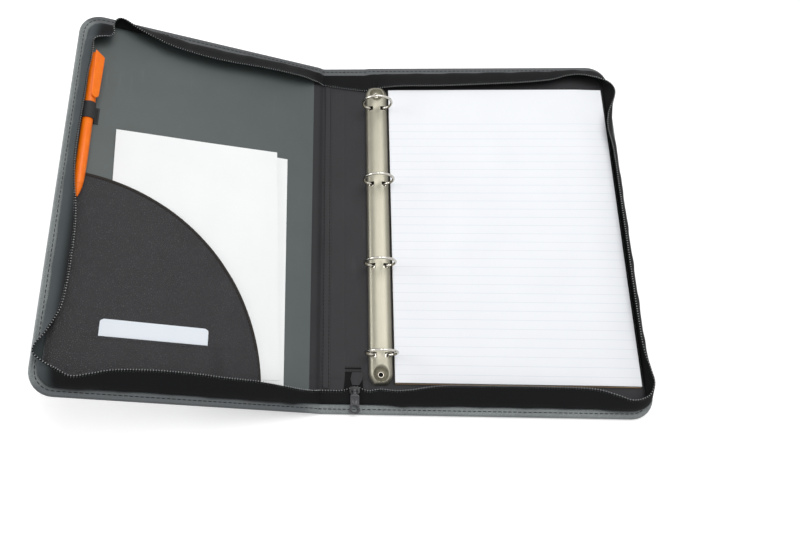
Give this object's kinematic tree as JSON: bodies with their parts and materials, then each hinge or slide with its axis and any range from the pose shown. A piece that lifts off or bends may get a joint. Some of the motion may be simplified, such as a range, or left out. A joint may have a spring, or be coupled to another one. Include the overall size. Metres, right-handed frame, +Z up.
{
  "type": "zipped ring binder",
  "caption": "Zip-round document binder lying open: flexible covers and spine, ring mechanism, zip gussets, writing pad, pocket with loose sheets, card and pen.",
  "frame": {"origin": "on the underside of the rear cover, below the middle of the ring mechanism", "axes": "+X across the rear cover to its fore edge, +Y along the ring mechanism to the head, +Z up out of the open binder"},
  "size_m": [0.4977, 0.3394, 0.1134],
  "materials": {
    "cover_grain": "grey grained leathercloth, satin",
    "lining_black": "black lining, matt",
    "lining_green": "green-grey lining, smooth and matt",
    "pocket_grain": "black grained leathercloth",
    "zip_tape": "black woven tape",
    "zip_coil": "black nylon coil",
    "black_metal": "black enamel",
    "elastic": "black elastic webbing",
    "nickel": "bright nickel plate",
    "white_paper": "white writing paper",
    "brown_card": "grey-brown pulp board",
    "pen_orange": "orange plastic"
  },
  "bodies": {
    "rear_cover": {"rear_cover": "cover_grain", "rear_lining": "lining_black", "rear_gusset": "zip_tape", "rear_zip_coil": "zip_coil", "ring_plate": "nickel", "foot_rivet": "nickel", "head_rivet": "nickel"},
    "spine_rear": {"spine_rear_leaf": "cover_grain", "spine_rear_lining": "lining_black", "spine_rear_foot_flap": "zip_tape", "spine_rear_head_flap": "zip_tape", "spine_rear_foot_coil": "zip_coil", "spine_rear_head_coil": "zip_coil", "zip_slider": "black_metal"},
    "spine_front": {"spine_front_leaf": "cover_grain", "spine_front_lining": "lining_black", "spine_front_foot_flap": "zip_tape", "spine_front_head_flap": "zip_tape", "spine_front_foot_coil": "zip_coil", "spine_front_head_coil": "zip_coil", "spine_seam_strip": "lining_black"},
    "front_cover": {"front_cover": "cover_grain", "front_lining": "lining_green", "front_gusset": "zip_tape", "front_zip_coil": "zip_coil", "pocket_panel": "pocket_grain", "card_slot_panel": "pocket_grain", "pen_loop": "elastic"},
    "left_rings": {"left_rail": "nickel", "left_ring_1": "nickel", "left_ring_2": "nickel", "left_ring_3": "nickel", "left_ring_4": "nickel"},
    "right_rings": {"right_rail": "nickel", "right_ring_1": "nickel", "right_ring_2": "nickel", "right_ring_3": "nickel", "right_ring_4": "nickel"},
    "pull": {"zip_pull": "black_metal"},
    "pen": {"pen_barrel": "pen_orange", "pen_clip": "pen_orange", "pen_tip": "nickel"},
    "card": {"business_card": "white_paper"},
    "far_sheet": {"loose_sheet_far": "white_paper"},
    "near_sheet": {"loose_sheet_near": "white_paper"},
    "pad": {"pad_back": "brown_card", "pad_sheets": "white_paper"}
  },
  "joints": [
    {"name": "rear_fold", "type": "hinge", "parent": "rear_cover", "child": "spine_rear", "pos_m": [-0.0115, 0, 0.0009], "axis": [0, 1, 0], "range_deg": [0, 70]},
    {"name": "middle_fold", "type": "hinge", "parent": "spine_rear", "child": "spine_front", "pos_m": [-0.0315, 0, 0.0009], "axis": [0, 1, 0], "range_deg": [0, 40]},
    {"name": "front_fold", "type": "hinge", "parent": "spine_front", "child": "front_cover", "pos_m": [-0.0515, 0, 0.0009], "axis": [0, 1, 0], "range_deg": [0, 46]},
    {"name": "left_rings_open", "type": "hinge", "parent": "rear_cover", "child": "left_rings", "pos_m": [-0.00855, 0, 0.0055], "axis": [0, 1, 0], "range_deg": [-16, 0]},
    {"name": "right_rings_open", "type": "hinge", "parent": "rear_cover", "child": "right_rings", "pos_m": [0.00855, 0, 0.0055], "axis": [0, 1, 0], "range_deg": [0, 16]},
    {"name": "pull_swing", "type": "hinge", "parent": "spine_rear", "child": "pull", "pos_m": [-0.0225, -0.1501, 0.00795], "axis": [1, 0, 0], "range_deg": [-150, 0]},
    {"name": "pen_slide", "type": "slide", "parent": "front_cover", "child": "pen", "axis": [0, -1, 0], "range_m": [-0.012, 0]},
    {"name": "card_slide", "type": "slide", "parent": "front_cover", "child": "card", "axis": [0, -1, 0], "range_m": [-0.04, 0]},
    {"name": "far_sheet_slide", "type": "slide", "parent": "front_cover", "child": "far_sheet", "axis": [0, -1, 0], "range_m": [-0.075, 0]},
    {"name": "near_sheet_slide", "type": "slide", "parent": "front_cover", "child": "near_sheet", "axis": [0, -1, 0], "range_m": [-0.075, 0]},
    {"name": "pad_lift", "type": "hinge", "parent": "rear_cover", "child": "pad", "pos_m": [0.0118, -0.0025, 0.0038], "axis": [0, 1, 0], "range_deg": [-30, 0]}
  ],
  "couplings": [
    {"joint": "right_rings_open", "follows": "left_rings_open", "ratio": -1}
  ]
}
